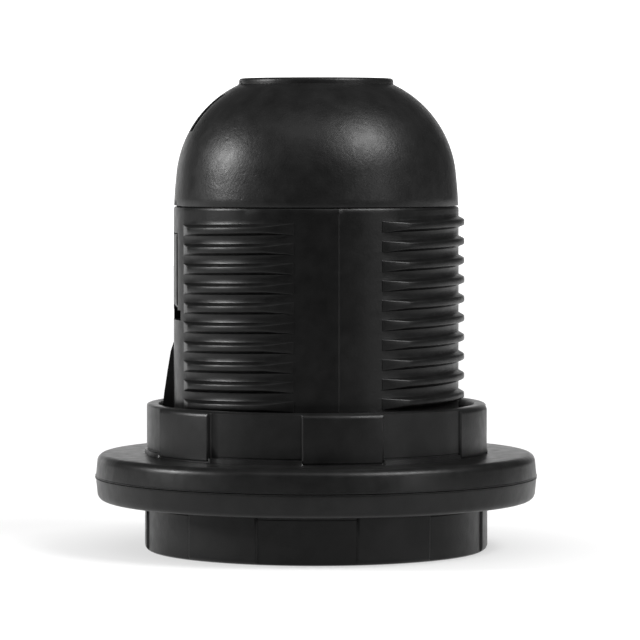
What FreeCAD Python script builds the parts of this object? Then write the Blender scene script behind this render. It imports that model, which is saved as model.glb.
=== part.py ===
"""E27 lamp holder with a half-threaded skirt and two shade rings.

The holder stands mouth down. The origin is the centre of the lower ring's rim, +Z runs up through
the dome, the mould's parting lines lie on -Y and +Y, and the snap windows on -X and +X.
"""

import FreeCAD, Part
import math
import os
import re
import Sketcher

Vector = FreeCAD.Vector
doc = FreeCAD.newDocument("lamp_holder")

# ---------------------------------------------------------------- driving dimensions
DIMENSIONS = {
    # how far a cut runs out into the open, and an added form is sunk into its carrier
    "cut_over": 1.0,
    "weld_depth": 0.5,
    # shade rings: height, flange and collar
    "ring_height": 9.6,
    "ring_flange_radius": 28.85,
    "ring_flange_draft": 0.15,
    "ring_flange_thick": 3.05,
    "ring_flange_round": 1.05,
    "ring_flash_proud": 0.18,
    "ring_flash_thick": 0.25,
    "ring_collar_radius": 22.47,
    "ring_recess_radius": 22.21,
    "ring_recess_bevel": 0.9,
    "ring_pad_half_angle": 13.7,
    "ring_pad_count": 6,
    "ring_rim_bore": 20.66,
    "ring_rim_round": 0.75,
    "ring_pocket_depth": 3.0,
    "ring_thread_bore": 19.8,
    "lower_ring_turn": 18.0,
    # skirt: tube, mouth, seat for the cap
    "skirt_radius": 18.65,
    "skirt_inner_radius": 16.95,
    "mouth_level": 0.6,
    "mouth_radius": 14.8,
    "mouth_chamfer": 0.5,
    "shoulder_level": 10.6,
    "seam_level": 44.9,
    "seam_chamfer": 0.25,
    "spigot_radius": 16.8,
    "spigot_bore": 15.6,
    "spigot_height": 2.0,
    "spigot_foot": 3.3,
    "spigot_lead": 1.4,
    "spigot_chamfer": 0.4,
    "leg_slot_width": 6.2,
    "window_width": 5.7,
    "window_low": 29.9,
    "window_high": 41.5,
    # barrel thread 40 x 2.5: ridges in four sectors between plain panels
    "thread_pitch": 2.5,
    "thread_turns": 16.21,
    "thread_start": 3.04,
    "thread_radius": 19.5,
    "thread_reach": 19.75,
    "thread_floor": 18.1,
    "ridge_foot_radius": 18.2,
    "ridge_root_width": 1.5,
    "ridge_foot_width": 1.8,
    "ridge_crest_width": 0.5,
    "main_panel_half_angle": 17.65,
    "main_taper_angle": 11.5,
    "right_panel_half_angle": 14.0,
    "right_taper_angle": 3.0,
    "left_near_half_angle": 13.2,
    "left_near_taper": 8.8,
    "left_far_half_angle": 27.0,
    "left_far_taper": 3.0,
    "thread_low": 1.6,
    "thread_top": 44.6,
    # ramp rib on the left side panel
    "ramp_angle": 12.4,
    "ramp_width": 1.25,
    "ramp_sink": 1.0,
    "ramp_top": 27.4,
    "ramp_top_radius": 18.6,
    "ramp_knee_level": 20.3,
    "ramp_knee_radius": 19.98,
    "ramp_foot_level": 16.9,
    "ramp_foot_radius": 20.35,
    # bumps that hold the carrier down, and the rib that keys it
    "bump_low": 31.02,
    "bump_height": 1.3,
    "bump_proud": 0.6,
    "bump_angle": 30.0,
    "key_azimuth": 45.0,
    "key_width": 1.4,
    "key_radius": 16.1,
    "key_side_gap": 0.2,
    "key_end_gap": 0.3,
    # dome cap
    "cap_foot_radius": 18.6,
    "cap_chamfer": 0.12,
    "cap_shoulder_radius": 18.31,
    "cap_shoulder_height": 4.05,
    "barrel_round": 58.0,
    "crown_round": 14.3,
    "crown_start_angle": 4.4,
    "crown_foot_radius": 10.1,
    "crown_height": 15.91,
    "neck_height": 16.7,
    "neck_round": 0.4,
    "cap_wall": 1.6,
    "boss_radius": 8.4,
    "boss_low": 52.6,
    "leg_inner_radius": 15.35,
    "leg_outer_radius": 16.6,
    "leg_angle": 15.0,
    "leg_low": 31.4,
    "leg_root_low": 47.1,
    "leg_root_high": 51.0,
    "leg_root_lean": 0.4,
    "leg_gusset": 1.8,
    "hook_radius": 18.76,
    "hook_high": 41.45,
    "hook_lead": 0.5,
    "driver_slot_width": 2.5,
    "driver_slot_low": 54.7,
    "driver_slot_high": 59.4,
    "driver_slot_stop": 0.1,
    # threaded entry M10 x 1 and its lock screw M3
    "entry_bore": 4.459,
    "bush_radius": 6.2,
    "bush_flange_radius": 7.4,
    "bush_flange_thick": 1.2,
    "bush_flange_chamfer": 0.2,
    "bush_top": 61.3,
    "bush_chamfer": 0.6,
    "seat_clearance": 0.03,
    "lock_level": 57.0,
    "lock_radius": 1.5,
    "lock_tip": 4.65,
    "lock_end": 9.0,
    "lock_point": 0.6,
    "lock_hole": 1.55,
    "lock_relief": 1.8,
    "driver_cut_width": 0.6,
    "driver_cut_depth": 0.9,
    # contact carrier
    "carrier_bore": 13.95,
    "carrier_radius": 15.4,
    "carrier_flange": 16.7,
    "carrier_flange_low": 28.8,
    "floor_low": 28.2,
    "floor_high": 31.0,
    "barrier_thick": 1.2,
    "barrier_length": 24.0,
    "barrier_height": 5.4,
    "collar_pit_radius": 2.75,
    "collar_pit_depth": 2.0,
    # rolled screw shell E27
    "shell_sheet": 0.3,
    "shell_lip_level": 11.0,
    "shell_lip_height": 2.2,
    "shell_lip_radius": 13.5,
    "shell_lead": 0.6,
    "edison_minor": 12.25,
    "edison_major": 13.3,
    "edison_pitch": 3.629,
    "edison_turns": 3.0,
    "edison_start": 12.05,
    "edison_foot": 0.3,
    "edison_foot_width": 2.9,
    "edison_crest_width": 0.9,
    "shell_top_level": 25.6,
    "shell_flange_radius": 9.6,
    # rivets
    "rivet_radius": 1.0,
    "rivet_hole": 1.05,
    "rivet_head_radius": 1.7,
    "rivet_head_thick": 0.8,
    "rivet_rim_thick": 0.25,
    "rivet_dome_step": 0.5,
    "rivet_dome_round": 1.1,
    "rivet_upset_chamfer": 0.3,
    "shell_rivet_across": 8.6,
    "shell_rivet_along": 7.2,
    "leaf_rivet_along": 4.6,
    # terminals: strip, washer, M3.5 screw
    "strip_thick": 1.0,
    "neutral_length": 21.2,
    "neutral_width": 5.6,
    "neutral_along": 7.4,
    "live_width": 6.8,
    "live_near": 2.7,
    "live_far": 13.4,
    "strip_round": 1.4,
    "neutral_screw_along": 7.4,
    "live_screw_along": 10.2,
    "tapped_collar_radius": 2.5,
    "tapped_collar_depth": 1.3,
    "terminal_radius": 1.75,
    "terminal_hole": 1.8,
    "terminal_head_radius": 3.0,
    "terminal_head_thick": 2.2,
    "terminal_head_round": 0.7,
    "terminal_shank_drop": 2.4,
    "terminal_point": 0.4,
    "washer_side": 6.3,
    "washer_thick": 0.8,
    "washer_hole": 1.95,
    "washer_chamfer": 0.35,
    # centre contact
    "leaf_thick": 0.4,
    "leaf_width": 5.0,
    "leaf_foot_end": 2.9,
    "leaf_bend_along": 7.4,
    "leaf_bend_round": 1.1,
    "leaf_bend_slack": 0.0001,
    "leaf_slope_shift": 0.08,
    "leaf_slope_start": 6.5,
    "leaf_slope_end": 2.6,
    "leaf_drop": 0.8,
    "leaf_tip": 2.4,
    "button_radius": 2.0,
    "button_shank": 0.9,
    "button_hole": 0.95,
    "button_dome": 1.0,
    "button_dome_round": 2.5,
    "button_rim": 0.2,
    "button_upset_radius": 1.4,
    "button_upset_thick": 0.4,
    "button_upset_chamfer": 0.2,
}

sizes = doc.addObject("Spreadsheet::Sheet", "sizes")
for row, (word, number) in enumerate(DIMENSIONS.items(), start=1):
    sizes.set(f"A{row}", word.replace("_", " "))
    sizes.set(f"B{row}", str(number))
    sizes.setAlias(f"B{row}", word)
doc.recompute()


def value(text):
    """The number that a sheet expression stands for."""
    return float(sizes.evalExpression(text))


def bound(text):
    """The same expression as an object outside the sheet has to write it."""
    return re.sub(r"\b([a-z]+(?:_[a-z]+)+)\b", r"sizes.\1", text)


def bind(thing, **fields):
    """Binds properties to sheet expressions; a double underscore stands for a dot."""
    for field, text in fields.items():
        thing.setExpression(field.replace("__", "."), bound(text))


# ---------------------------------------------------------------- sketch and feature helpers
def new_body(name):
    return doc.addObject("PartDesign::Body", name)


def new_sketch(body, name, plane, lift="0"):
    """An empty sketch on one of the body's origin planes, lifted along the plane's normal."""
    sketch = body.newObject("Sketcher::SketchObject", name)
    base = [f for f in body.Origin.OriginFeatures if f.Role == plane][0]
    sketch.AttachmentSupport = [(base, "")]
    sketch.MapMode = "FlatFace"
    if lift != "0":
        bind(sketch, AttachmentOffset__Base__z=lift)
    doc.recompute()
    return sketch


def arc_between(start, end, radius):
    """The shorter arc from start to end; it turns left where the radius is positive."""
    chord = end - start
    rise = math.sqrt(radius**2 - (chord.Length / 2) ** 2)
    left = Vector(-chord.y, chord.x, 0).normalize() * math.copysign(1, radius)
    centre = (start + end) * 0.5 + left * rise
    middle = centre - left * abs(radius)
    return Part.Arc(start, middle, end)


def outline(body, name, plane, corners, lift="0"):
    """A closed sketch through corners (across, up), each a pair of sheet expressions.

    A third entry rounds the side that ends at that corner: it is the arc's radius, and the side
    turns left, or right where the expression starts with a minus sign.
    """
    sketch = new_sketch(body, name, plane, lift)
    spots = [Vector(value(c[0]), value(c[1]), 0) for c in corners]
    ends = []
    for i, corner in enumerate(corners):
        start, end = spots[i - 1], spots[i]
        if len(corner) == 3:
            side = sketch.addGeometry(arc_between(start, end, value(corner[2])))
            size = sketch.addConstraint(
                Sketcher.Constraint("Radius", side, abs(value(corner[2])))
            )
            sketch.renameConstraint(size, f"round_{i}")
            bind(sketch, **{f"Constraints__round_{i}": corner[2].lstrip("-")})
        else:
            side = sketch.addGeometry(Part.LineSegment(start, end))
        first = (sketch.getPoint(side, 1) - start).Length < 1e-6
        ends.append((side, 1 if first else 2, 2 if first else 1))
    for i, corner in enumerate(corners):
        side, _, last = ends[i]
        following, first, _ = ends[(i + 1) % len(ends)]
        sketch.addConstraint(Sketcher.Constraint("Coincident", side, last, following, first))
        for kind, axis, text, place in (
            ("DistanceX", -2, corner[0], spots[i].x),
            ("DistanceY", -1, corner[1], spots[i].y),
        ):
            if text == "0":
                sketch.addConstraint(Sketcher.Constraint("PointOnObject", side, last, axis))
                continue
            datum = sketch.addConstraint(Sketcher.Constraint(kind, side, last, place))
            sketch.renameConstraint(datum, f"{kind}_{i}")
            bind(sketch, **{f"Constraints__{kind}_{i}": text})
    doc.recompute()
    return sketch


def circles(body, name, plane, rounds, lift="0"):
    """A sketch of circles (across, up, radius) in sheet expressions."""
    sketch = new_sketch(body, name, plane, lift)
    for i, (across, up, radius) in enumerate(rounds):
        centre = Vector(value(across), value(up), 0)
        ring = sketch.addGeometry(Part.Circle(centre, Vector(0, 0, 1), value(radius)))
        size = sketch.addConstraint(Sketcher.Constraint("Radius", ring, value(radius)))
        sketch.renameConstraint(size, f"radius_{i}")
        bind(sketch, **{f"Constraints__radius_{i}": radius})
        for kind, axis, text, place in (
            ("DistanceX", -2, across, centre.x),
            ("DistanceY", -1, up, centre.y),
        ):
            if text == "0":
                sketch.addConstraint(Sketcher.Constraint("PointOnObject", ring, 3, axis))
                continue
            datum = sketch.addConstraint(Sketcher.Constraint(kind, ring, 3, place))
            sketch.renameConstraint(datum, f"{kind}_{i}")
            bind(sketch, **{f"Constraints__{kind}_{i}": text})
    doc.recompute()
    return sketch


def turned(body, name, sketch, angle=None, kind="Revolution"):
    """Revolves a sketch about its own vertical axis, all the way or evenly by an angle."""
    feature = body.newObject(f"PartDesign::{kind}", name)
    feature.Profile = sketch
    feature.ReferenceAxis = (sketch, ["V_Axis"])
    feature.Angle = 360
    if angle:
        feature.Midplane = True
        bind(feature, Angle=angle)
    doc.recompute()
    return feature


def padded(body, name, sketch, length, both_ways=False):
    feature = body.newObject("PartDesign::Pad", name)
    feature.Profile = sketch
    feature.Midplane = both_ways
    bind(feature, Length=length)
    doc.recompute()
    return feature


def cut(body, name, sketch, length, reverse=False, both_ways=False):
    """A pocket that has to take material away."""
    before = body.Shape.Volume
    feature = body.newObject("PartDesign::Pocket", name)
    feature.Profile = sketch
    feature.Midplane = both_ways
    feature.Reversed = reverse
    bind(feature, Length=length)
    doc.recompute()
    if body.Shape.Volume > before - 1e-3:
        raise RuntimeError(f"{name} cuts nothing")
    return feature


def repeated(body, name, features, count):
    """Copies features evenly round the body's Z axis."""
    pattern = body.newObject("PartDesign::PolarPattern", name)
    pattern.Originals = features
    axis = [f for f in body.Origin.OriginFeatures if f.Role == "Z_Axis"][0]
    pattern.Axis = (axis, [""])
    pattern.Angle = 360
    bind(pattern, Occurrences=count)
    body.Tip = pattern
    doc.recompute()
    return pattern


def rectangle(low_x, low_y, high_x, high_y):
    return [(low_x, low_y), (high_x, low_y), (high_x, high_y), (low_x, high_y)]


def dressed(body, name, kind, edges, size):
    """A Fillet or a Chamfer on the edges of the body's shape that the test picks."""
    base = body.Tip
    picked = [f"Edge{i}" for i, e in enumerate(base.Shape.Edges, start=1) if edges(e)]
    if not picked:
        raise RuntimeError(f"{name} finds no edge")
    feature = body.newObject(f"PartDesign::{kind}", name)
    feature.Base = (base, picked)
    bind(feature, **{"Radius" if kind == "Fillet" else "Size": size})
    doc.recompute()
    return feature


def upright(edge):
    return abs(edge.tangentAt(edge.FirstParameter).z) > 0.9


# ---------------------------------------------------------------- shade rings
def shade_ring(name):
    """A shade ring in its own frame: the face that meets the other ring at zero, its rim up.

    The collar is turned at the radius of the pads, and six shallow recesses with bevelled sides
    are cut between them. The bore clears the crests of the barrel thread.
    """
    ring = new_body(name)
    section = outline(
        ring,
        f"{name}_section",
        "XZ_Plane",
        [
            ("ring_thread_bore", "0"),
            ("ring_flange_radius + ring_flash_proud", "0"),
            ("ring_flange_radius + ring_flash_proud", "ring_flash_thick"),
            ("ring_flange_radius", "ring_flash_thick"),
            (
                "ring_flange_radius - ring_flange_draft",
                "ring_flange_thick - ring_flange_round",
            ),
            (
                "ring_flange_radius - ring_flange_draft - ring_flange_round",
                "ring_flange_thick",
                "ring_flange_round",
            ),
            ("ring_collar_radius", "ring_flange_thick"),
            ("ring_collar_radius", "ring_height - ring_rim_round"),
            ("ring_collar_radius - ring_rim_round", "ring_height", "ring_rim_round"),
            ("ring_rim_bore", "ring_height"),
            ("ring_rim_bore", "ring_height - ring_pocket_depth"),
            ("ring_thread_bore", "ring_height - ring_pocket_depth"),
        ],
    )
    turned(ring, f"{name}_turned", section)
    gap = "(180 / ring_pad_count - ring_pad_half_angle)"
    foot = (f"ring_recess_radius * cos({gap})", f"ring_recess_radius * sin({gap})")
    brink = (
        f"ring_collar_radius * cos({gap} + ring_recess_bevel)",
        f"ring_collar_radius * sin({gap} + ring_recess_bevel)",
    )
    # the bevelled side is carried on past the collar, and the cut is closed outside it
    beyond = tuple(f"({b} * 3 - {f} * 2)" for f, b in zip(foot, brink))
    outside = "ring_collar_radius + cut_over"
    recess = outline(
        ring,
        f"{name}_recess",
        "XY_Plane",
        [
            (foot[0], f"-{foot[1]}"),
            (foot[0], foot[1], "ring_recess_radius"),
            beyond,
            (outside, beyond[1]),
            (outside, f"-{beyond[1]}"),
            (beyond[0], f"-{beyond[1]}"),
        ],
        lift="ring_flange_thick",
    )
    first = cut(ring, f"{name}_recess_cut", recess, "ring_height", reverse=True)
    repeated(ring, f"{name}_recesses", [first], "ring_pad_count")
    return ring


def turned_over(ring, azimuth):
    """Lays a ring on its rim, turned about the holder's axis."""
    half = math.radians(azimuth / 2)
    flip = FreeCAD.Rotation(Vector(math.cos(half), math.sin(half), 0), 180)
    ring.Placement = FreeCAD.Placement(Vector(0, 0, value("ring_height")), flip)


upper_ring = shade_ring("upper_shade_ring")
upper_ring.Placement = FreeCAD.Placement(Vector(0, 0, value("ring_height")), FreeCAD.Rotation())
lower_ring = shade_ring("lower_shade_ring")
turned_over(lower_ring, value("lower_ring_turn"))


# ---------------------------------------------------------------- threaded skirt
def skirt_tube():
    """The skirt's tube: mouth, shoulder for the carrier, plain bore and the cap's spigot."""
    tube = new_body("skirt_tube")
    section = outline(
        tube,
        "tube_section",
        "XZ_Plane",
        [
            ("mouth_radius + mouth_chamfer", "mouth_level"),
            ("skirt_radius - mouth_chamfer", "mouth_level"),
            ("skirt_radius", "mouth_level + mouth_chamfer"),
            ("skirt_radius", "seam_level - seam_chamfer"),
            ("skirt_radius - seam_chamfer", "seam_level"),
            ("spigot_radius", "seam_level"),
            ("spigot_radius", "seam_level + spigot_height - spigot_chamfer"),
            ("spigot_radius - spigot_chamfer", "seam_level + spigot_height"),
            ("spigot_bore", "seam_level + spigot_height"),
            ("spigot_bore", "seam_level - spigot_foot"),
            ("skirt_inner_radius", "seam_level - spigot_foot - spigot_lead"),
            ("skirt_inner_radius", "shoulder_level"),
            ("mouth_radius", "shoulder_level"),
            ("mouth_radius", "mouth_level + mouth_chamfer"),
        ],
    )
    turned(tube, "tube_turned", section)
    # grooves that let the cap's legs down past the spigot
    groove = outline(
        tube,
        "leg_groove",
        "XY_Plane",
        rectangle(
            "-skirt_inner_radius",
            "-leg_slot_width / 2",
            "skirt_inner_radius",
            "leg_slot_width / 2",
        ),
        lift="window_high",
    )
    cut(tube, "leg_groove_cut", groove, "seam_level", reverse=True)
    # windows that take the hooks of the legs
    window = outline(
        tube,
        "window",
        "XY_Plane",
        rectangle(
            "-skirt_radius - cut_over",
            "-window_width / 2",
            "skirt_radius + cut_over",
            "window_width / 2",
        ),
        lift="window_low",
    )
    cut(tube, "window_cut", window, "window_high - window_low", reverse=True)
    # bumps over the carrier's flange, on the parting lines
    bump = outline(
        tube,
        "bump_section",
        "YZ_Plane",
        [
            ("skirt_inner_radius + weld_depth", "bump_low"),
            ("skirt_inner_radius - bump_proud", "bump_low"),
            ("skirt_inner_radius - bump_proud", "bump_low + bump_height / 3"),
            ("skirt_inner_radius", "bump_low + bump_height"),
            ("skirt_inner_radius + weld_depth", "bump_low + bump_height"),
        ],
    )
    bump_turned = turned(tube, "bump_turned", bump, "bump_angle")
    repeated(tube, "bumps", [bump_turned], "2")
    return tube


def helical_ridge():
    """One continuous ridge of the barrel thread, before it is trimmed to its sectors."""
    ridge = new_body("thread_ridge")
    section = outline(
        ridge,
        "ridge_section",
        "XZ_Plane",
        [
            ("ridge_foot_radius", "thread_start - ridge_foot_width / 2"),
            ("skirt_radius", "thread_start - ridge_root_width / 2"),
            ("thread_radius", "thread_start - ridge_crest_width / 2"),
            ("thread_radius", "thread_start + ridge_crest_width / 2"),
            ("skirt_radius", "thread_start + ridge_root_width / 2"),
            ("ridge_foot_radius", "thread_start + ridge_foot_width / 2"),
        ],
    )
    helix = ridge.newObject("PartDesign::AdditiveHelix", "ridge_helix")
    helix.Profile = section
    helix.ReferenceAxis = (section, ["V_Axis"])
    helix.Mode = "pitch-turns-angle"
    bind(helix, Pitch="thread_pitch", Turns="thread_turns")
    doc.recompute()
    return ridge


def thread_envelope():
    """The plan of the mould: crests stand in four sectors, and slope away beside the panels."""
    right = ("right_panel_half_angle", "right_taper_angle")
    main = ("main_panel_half_angle", "main_taper_angle")
    left_far = ("left_far_half_angle", "left_far_taper")
    left_near = ("left_near_half_angle", "left_near_taper")

    def reached(edge, radius):
        """How far from the middle of its panel a sloping edge comes up to a radius."""
        panel, taper = edge
        share = f"(({radius} - skirt_radius) / (thread_radius - skirt_radius))"
        return f"({panel} + {taper} * {share})"

    sides = []
    for middle, before, after in (
        (0, right, right),
        (90, main, main),
        (180, left_far, left_near),
        (270, main, main),
    ):
        for radius, angle, rounding in (
            ("thread_reach", f"({middle} - {reached(before, 'thread_reach')})", "thread_reach"),
            ("thread_floor", f"({middle} - {reached(before, 'thread_floor')})", None),
            ("thread_floor", f"({middle} + {reached(after, 'thread_floor')})", "thread_floor"),
            ("thread_reach", f"({middle} + {reached(after, 'thread_reach')})", None),
        ):
            corner = (f"{radius} * cos({angle})", f"{radius} * sin({angle})")
            sides.append(corner + (rounding,) if rounding else corner)
    envelope = new_body("thread_envelope")
    plan = outline(envelope, "envelope_plan", "XY_Plane", sides, lift="thread_low")
    padded(envelope, "envelope_pad", plan, "thread_top - thread_low")
    return envelope


def stood_at(body, azimuth):
    """Turns a body about the holder's axis."""
    turn = FreeCAD.Rotation(Vector(0, 0, 1), value(azimuth))
    body.Placement = FreeCAD.Placement(Vector(), turn)


def ramp_rib():
    """A thin rib on the left side panel, which swells towards the mouth."""
    rib = new_body("ramp_rib")
    section = outline(
        rib,
        "ramp_section",
        "XZ_Plane",
        [
            ("skirt_radius - ramp_sink", "ramp_foot_level"),
            ("ramp_foot_radius", "ramp_foot_level"),
            ("ramp_knee_radius", "ramp_knee_level"),
            ("ramp_top_radius", "ramp_top"),
            ("skirt_radius - ramp_sink", "ramp_top"),
        ],
    )
    padded(rib, "ramp_pad", section, "ramp_width", both_ways=True)
    stood_at(rib, "180 - ramp_angle")
    return rib


def key_rib():
    """The rib inside the skirt that keys the carrier against turning."""
    rib = new_body("key_rib")
    plan = outline(
        rib,
        "key_plan",
        "XY_Plane",
        rectangle(
            "key_radius",
            "-key_width / 2",
            "skirt_inner_radius + weld_depth",
            "key_width / 2",
        ),
        lift="shoulder_level - weld_depth",
    )
    padded(rib, "key_pad", plan, "floor_high - shoulder_level")
    stood_at(rib, "key_azimuth")
    return rib


sectors = doc.addObject("Part::Common", "thread_sectors")
sectors.Base = helical_ridge()
sectors.Tool = thread_envelope()
skirt = doc.addObject("Part::MultiFuse", "threaded_skirt")
skirt.Shapes = [
    skirt_tube(),
    sectors,
    ramp_rib(),
    key_rib(),
]
skirt.Refine = False
doc.recompute()


# ---------------------------------------------------------------- dome cap
def dome_cap():
    """The cap: a barrel that closes into a crown, a short neck, a boss for the bush, two legs."""
    cap = new_body("dome_cap")
    centre_radius = "(cap_shoulder_radius - crown_round * cos(crown_start_angle))"
    inner_crown = "(crown_round - cap_wall)"
    crown_level = "(seam_level + cap_shoulder_height - crown_round * sin(crown_start_angle))"
    boss_meets = (
        f"{crown_level} + sqrt({inner_crown} * {inner_crown}"
        f" - (boss_radius - {centre_radius}) * (boss_radius - {centre_radius}))"
    )
    section = outline(
        cap,
        "cap_section",
        "XZ_Plane",
        [
            ("cap_foot_radius - cap_wall", "seam_level"),
            ("cap_foot_radius - cap_chamfer", "seam_level"),
            ("cap_foot_radius", "seam_level + cap_chamfer"),
            ("cap_shoulder_radius", "seam_level + cap_shoulder_height", "barrel_round"),
            ("crown_foot_radius", "seam_level + crown_height", "crown_round"),
            ("crown_foot_radius", "seam_level + neck_height - neck_round"),
            (
                "crown_foot_radius - neck_round",
                "seam_level + neck_height",
                "neck_round",
            ),
            (
                "bush_radius + seat_clearance + bush_chamfer",
                "seam_level + neck_height",
            ),
            (
                "bush_radius + seat_clearance",
                "seam_level + neck_height - bush_chamfer",
            ),
            ("bush_radius + seat_clearance", "boss_low"),
            ("boss_radius", "boss_low"),
            ("boss_radius", boss_meets),
            (
                "cap_shoulder_radius - cap_wall",
                "seam_level + cap_shoulder_height",
                "-(crown_round - cap_wall)",
            ),
        ],
    )
    turned(cap, "cap_turned", section)
    # snap legs, with hooks that fill the skirt's windows
    leg = outline(
        cap,
        "leg_section",
        "XZ_Plane",
        [
            ("leg_inner_radius", "leg_low"),
            ("hook_radius - hook_lead", "leg_low"),
            ("hook_radius", "leg_low + hook_lead"),
            ("hook_radius", "hook_high"),
            ("leg_outer_radius", "hook_high"),
            ("leg_outer_radius", "leg_root_low"),
            ("cap_foot_radius - cap_wall / 2", "leg_root_low"),
            ("cap_foot_radius - cap_wall / 2 - leg_root_lean", "leg_root_high"),
            ("leg_inner_radius", "leg_root_high - leg_gusset"),
        ],
    )
    leg_turned = turned(cap, "leg_turned", leg, "leg_angle")
    repeated(cap, "legs", [leg_turned], "2")
    # driver slot through the left side of the dome, in line with the lock screw
    slot = outline(
        cap,
        "driver_slot",
        "YZ_Plane",
        rectangle(
            "-driver_slot_width / 2",
            "driver_slot_low",
            "driver_slot_width / 2",
            "driver_slot_high",
        ),
        lift="-cap_foot_radius",
    )
    cut(
        cap,
        "driver_slot_cut",
        slot,
        "cap_foot_radius - boss_radius - driver_slot_stop",
        reverse=True,
    )
    relief = circles(
        cap,
        "lock_relief",
        "YZ_Plane",
        [("0", "lock_level", "lock_relief")],
        lift="-boss_radius - cut_over",
    )
    cut(cap, "lock_relief_cut", relief, "boss_radius + cut_over", reverse=True)
    return cap


dome_cap()


# ---------------------------------------------------------------- entry bush and lock screw
def entry_bush():
    """The flanged metal bush in the neck. Its bore stands for the M10 x 1 thread."""
    bush = new_body("entry_bush")
    low = "(boss_low - bush_flange_thick)"
    section = outline(
        bush,
        "bush_section",
        "XZ_Plane",
        [
            ("entry_bore + bush_chamfer", low),
            ("bush_flange_radius - bush_flange_chamfer", low),
            ("bush_flange_radius", f"{low} + bush_flange_chamfer"),
            ("bush_flange_radius", "boss_low"),
            ("bush_radius", "boss_low"),
            ("bush_radius", "bush_top"),
            ("entry_bore + bush_chamfer", "bush_top"),
            ("entry_bore", "bush_top - bush_chamfer"),
            ("entry_bore", f"{low} + bush_chamfer"),
        ],
    )
    turned(bush, "bush_turned", section)
    tapped = circles(
        bush,
        "lock_hole",
        "YZ_Plane",
        [("0", "lock_level", "lock_hole")],
        lift="-boss_radius",
    )
    cut(bush, "lock_hole_cut", tapped, "boss_radius", reverse=True)
    return bush


def lock_screw():
    """A grub screw along X, with a cone point and a driver slot."""
    screw = new_body("lock_screw")
    section = outline(
        screw,
        "lock_section",
        "XZ_Plane",
        [
            ("0", "0"),
            ("lock_radius", "0"),
            ("lock_radius", "lock_end - lock_tip - lock_point"),
            ("lock_radius - lock_point", "lock_end - lock_tip"),
            ("0", "lock_end - lock_tip"),
        ],
    )
    turned(screw, "lock_turned", section)
    slot = outline(
        screw,
        "lock_slot",
        "XY_Plane",
        rectangle(
            "-lock_radius - cut_over",
            "-driver_cut_width / 2",
            "lock_radius + cut_over",
            "driver_cut_width / 2",
        ),
    )
    cut(screw, "lock_slot_cut", slot, "driver_cut_depth", reverse=True)
    screw.Placement = FreeCAD.Placement(
        Vector(-value("lock_end"), 0, value("lock_level")),
        FreeCAD.Rotation(Vector(0, 1, 0), 90),
    )
    return screw


entry_bush()
lock_screw()


# ---------------------------------------------------------------- contact carrier
SHELL_RIVET_HOLES = [
    ("-shell_rivet_across", "shell_rivet_along", "rivet_hole"),
    ("shell_rivet_across", "shell_rivet_along", "rivet_hole"),
]
LEAF_RIVET_HOLE = ("0", "-leaf_rivet_along", "rivet_hole")


def contact_carrier():
    """The insulating cup: bore for the shell, floor for the contacts, barrier between the poles."""
    carrier = new_body("contact_carrier")
    section = outline(
        carrier,
        "carrier_section",
        "XZ_Plane",
        [
            ("carrier_bore", "shoulder_level"),
            ("carrier_radius", "shoulder_level"),
            ("carrier_radius", "carrier_flange_low - carrier_flange + carrier_radius"),
            ("carrier_flange", "carrier_flange_low"),
            ("carrier_flange", "floor_high"),
            ("0", "floor_high"),
            ("0", "floor_low"),
            ("carrier_bore", "floor_low"),
        ],
    )
    turned(carrier, "carrier_turned", section)
    # flats that clear the hooks behind the windows
    for side, near, far in (
        ("left", "-carrier_flange - cut_over", "-carrier_radius"),
        ("right", "carrier_radius", "carrier_flange + cut_over"),
    ):
        flat = outline(
            carrier,
            f"{side}_flat",
            "XY_Plane",
            rectangle(near, "-window_width", far, "window_width"),
            lift="shoulder_level",
        )
        cut(carrier, f"{side}_flat_cut", flat, "floor_high - shoulder_level", reverse=True)
    barrier = outline(
        carrier,
        "barrier",
        "XY_Plane",
        rectangle(
            "-barrier_length / 2", "-barrier_thick / 2", "barrier_length / 2", "barrier_thick / 2"
        ),
        lift="floor_high",
    )
    padded(carrier, "barrier_pad", barrier, "barrier_height")
    rivets = circles(
        carrier,
        "rivet_holes",
        "XY_Plane",
        SHELL_RIVET_HOLES + [LEAF_RIVET_HOLE],
        lift="floor_high",
    )
    cut(carrier, "rivet_holes_cut", rivets, "floor_high - floor_low")
    pits = circles(
        carrier,
        "collar_pits",
        "XY_Plane",
        [
            ("0", "neutral_screw_along", "collar_pit_radius"),
            ("0", "-live_screw_along", "collar_pit_radius"),
        ],
        lift="floor_high",
    )
    cut(carrier, "collar_pits_cut", pits, "collar_pit_depth")
    return carrier


def key_notch():
    """The notch in the carrier's flange that takes the skirt's key rib."""
    notch = new_body("key_notch")
    plan = outline(
        notch,
        "notch_plan",
        "XY_Plane",
        rectangle(
            "key_radius - key_end_gap",
            "-key_width / 2 - key_side_gap",
            "carrier_flange + cut_over",
            "key_width / 2 + key_side_gap",
        ),
        lift="shoulder_level",
    )
    padded(notch, "notch_pad", plan, "floor_high - shoulder_level + cut_over")
    stood_at(notch, "key_azimuth")
    return notch


carrier_blank = contact_carrier()
carrier_blank.Label = "carrier_blank"
carrier = doc.addObject("Part::Cut", "keyed_carrier")
carrier.Label = "contact_carrier"
carrier.Base = carrier_blank
carrier.Tool = key_notch()
doc.recompute()


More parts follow.
